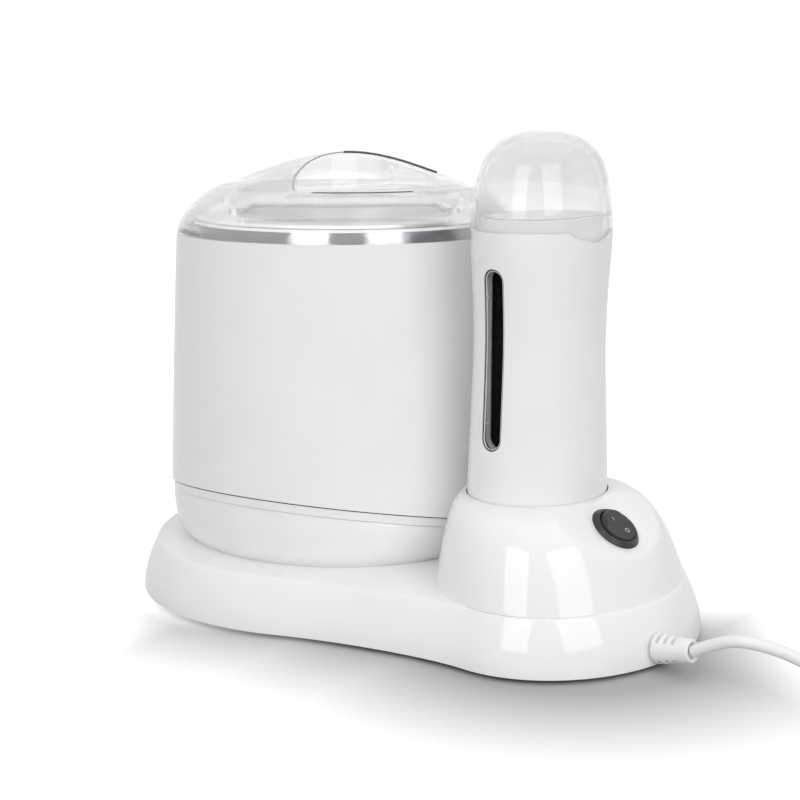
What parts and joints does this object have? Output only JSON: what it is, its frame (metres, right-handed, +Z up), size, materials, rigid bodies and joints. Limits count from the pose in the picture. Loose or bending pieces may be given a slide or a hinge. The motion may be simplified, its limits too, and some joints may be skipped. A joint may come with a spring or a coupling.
{
  "type": "roll-on wax heater",
  "caption": "Table-top wax heater: round pot under a clear domed lid beside a docked oval roll-on handpiece with a clear cap, on a waisted base with a rocker switch and mains cord.",
  "frame": {"origin": "middle of the base's outline, on the surface it stands on", "axes": "+X from the wax pot to the handpiece, +Z up, +Y to the side away from the handpiece's window"},
  "size_m": [0.5625, 0.21, 0.2168],
  "materials": {
    "white_plastic": "glossy white moulding",
    "black_plastic": "fine black moulding",
    "rubber": "soft black",
    "steel": "bright",
    "brass": "plated",
    "aluminium": "satin, spun",
    "heater": "mica and foil",
    "insulation": "glass wool",
    "cream_ceramic": "unglazed",
    "cord_plastic": "soft white sheath",
    "clear_plastic": "clear polished",
    "smoked_plastic": "clear with a grey tint"
  },
  "bodies": {
    "housing": {"base_cover": "white_plastic", "base_plate": "black_plastic", "rubber_feet": "rubber", "plate_screws": "steel", "pedestal": "white_plastic", "switch_body": "black_plastic", "switch_pivot": "steel", "switch_tabs": "brass", "dock_cup": "white_plastic", "contact_block": "black_plastic", "contact_pins": "brass", "pot_shell": "white_plastic", "pot_band": "white_plastic", "pot_bowl": "white_plastic", "pot_screws": "steel", "heating_well": "aluminium", "pot_collar": "white_plastic", "heater_band": "heater", "insulation_sleeve": "insulation", "pot_thermostat": "cream_ceramic", "pot_fuse": "cream_ceramic", "strain_relief": "cord_plastic", "cord_coil": "cord_plastic", "cord_run": "cord_plastic", "cord_tail": "cord_plastic", "plug_body": "cord_plastic", "plug_pins": "brass", "terminal_block": "black_plastic", "mains_tail": "cord_plastic", "cord_clamp": "cord_plastic"},
    "pot": {"inner_pot": "aluminium"},
    "bail_handle": {"bail": "steel"},
    "pot_lid": {"lid": "clear_plastic"},
    "handpiece": {"hand_shell": "white_plastic", "hand_window": "smoked_plastic", "hand_foot": "white_plastic", "hand_screws": "steel", "hand_contacts": "brass", "cartridge_bay": "black_plastic", "neck_plate": "white_plastic", "hand_heater": "heater", "hand_thermostat": "cream_ceramic", "bay_stand": "black_plastic"},
    "hand_cap": {"cap": "clear_plastic"},
    "rocker": {"switch_rocker": "black_plastic"}
  },
  "joints": [
    {"name": "pot_lift", "type": "slide", "parent": "housing", "child": "pot", "axis": [0, 0, 1], "range_m": [0, 0.075]},
    {"name": "lid_lift", "type": "slide", "parent": "pot", "child": "pot_lid", "axis": [0, 0, 1], "range_m": [0, 0.09]},
    {"name": "bail_swing", "type": "hinge", "parent": "pot", "child": "bail_handle", "pos_m": [-0.0495, 0, 0.1779], "axis": [0.7071, 0.7071, 0], "range_deg": [0, 90]},
    {"name": "hand_lift", "type": "slide", "parent": "housing", "child": "handpiece", "axis": [0, 0, 1], "range_m": [0, 0.08]},
    {"name": "cap_lift", "type": "slide", "parent": "handpiece", "child": "hand_cap", "axis": [0, 0, 1], "range_m": [0, 0.05]},
    {"name": "switch_rock", "type": "hinge", "parent": "housing", "child": "rocker", "pos_m": [0.11009, 0, 0.05103], "axis": [0.3547, -0.8988, -0.2577], "range_deg": [0, 14]}
  ],
  "couplings": [
    {"joint": "bail_swing", "follows": "lid_lift", "rad_per_m": 17.453}
  ]
}
